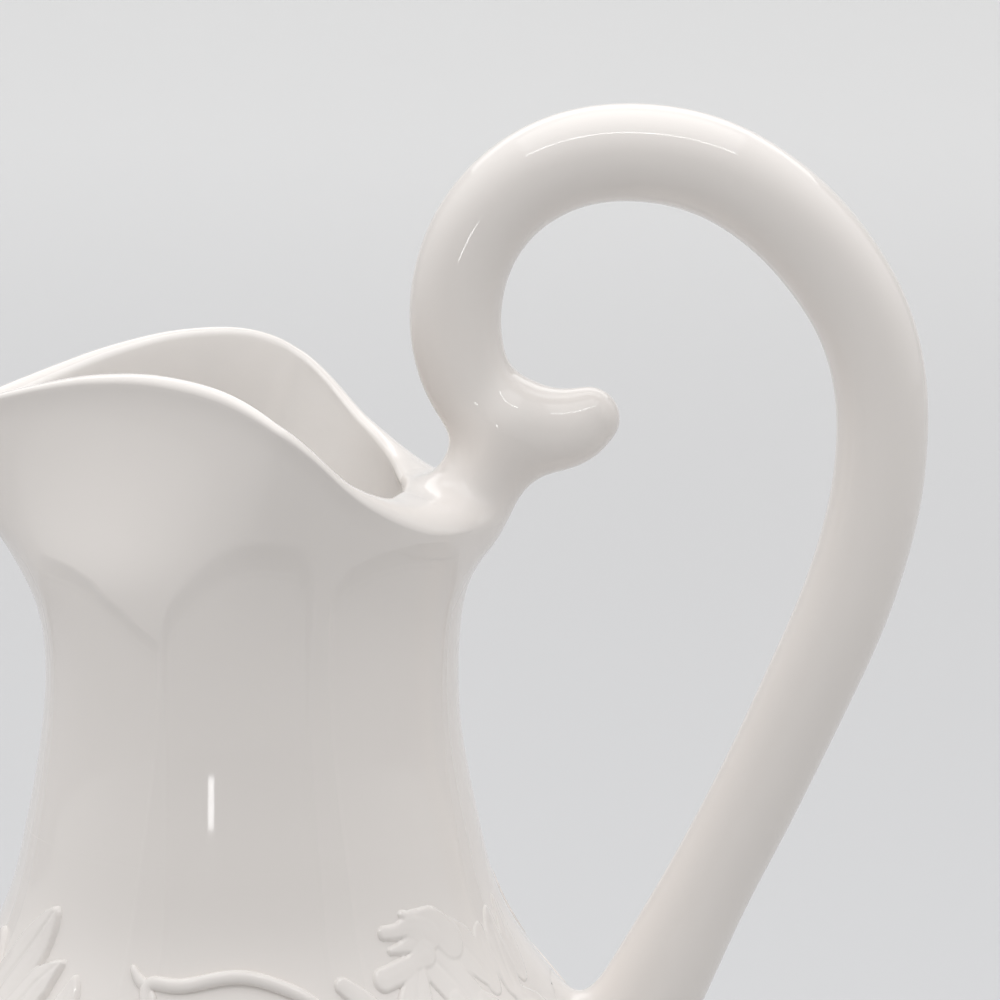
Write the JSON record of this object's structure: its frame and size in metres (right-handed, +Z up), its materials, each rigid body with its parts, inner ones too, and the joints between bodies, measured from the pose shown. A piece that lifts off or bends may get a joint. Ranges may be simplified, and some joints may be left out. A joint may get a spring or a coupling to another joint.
{
  "type": "ewer",
  "caption": "White glazed ceramic ewer with a wavy pouring mouth, a high scrolled handle, a panelled neck, shoulder relief and a turned foot.",
  "frame": {"origin": "centre of the foot ring, on the surface the ewer stands on", "axes": "+Z up, +X from the vertical axis to the handle, -X to the pouring lip, Y = 0 the plane of symmetry"},
  "size_m": [0.2556, 0.197, 0.3734],
  "materials": {
    "glaze": "gloss",
    "relief_glaze": "gloss"
  },
  "bodies": {
    "root": {"foot": "glaze", "belly": "glaze", "neck": "glaze", "handle": "glaze", "side_frames": "relief_glaze", "flower_sprays": "relief_glaze", "leaf_sprays": "relief_glaze", "root_leaves": "relief_glaze"}
  },
  "joints": []
}
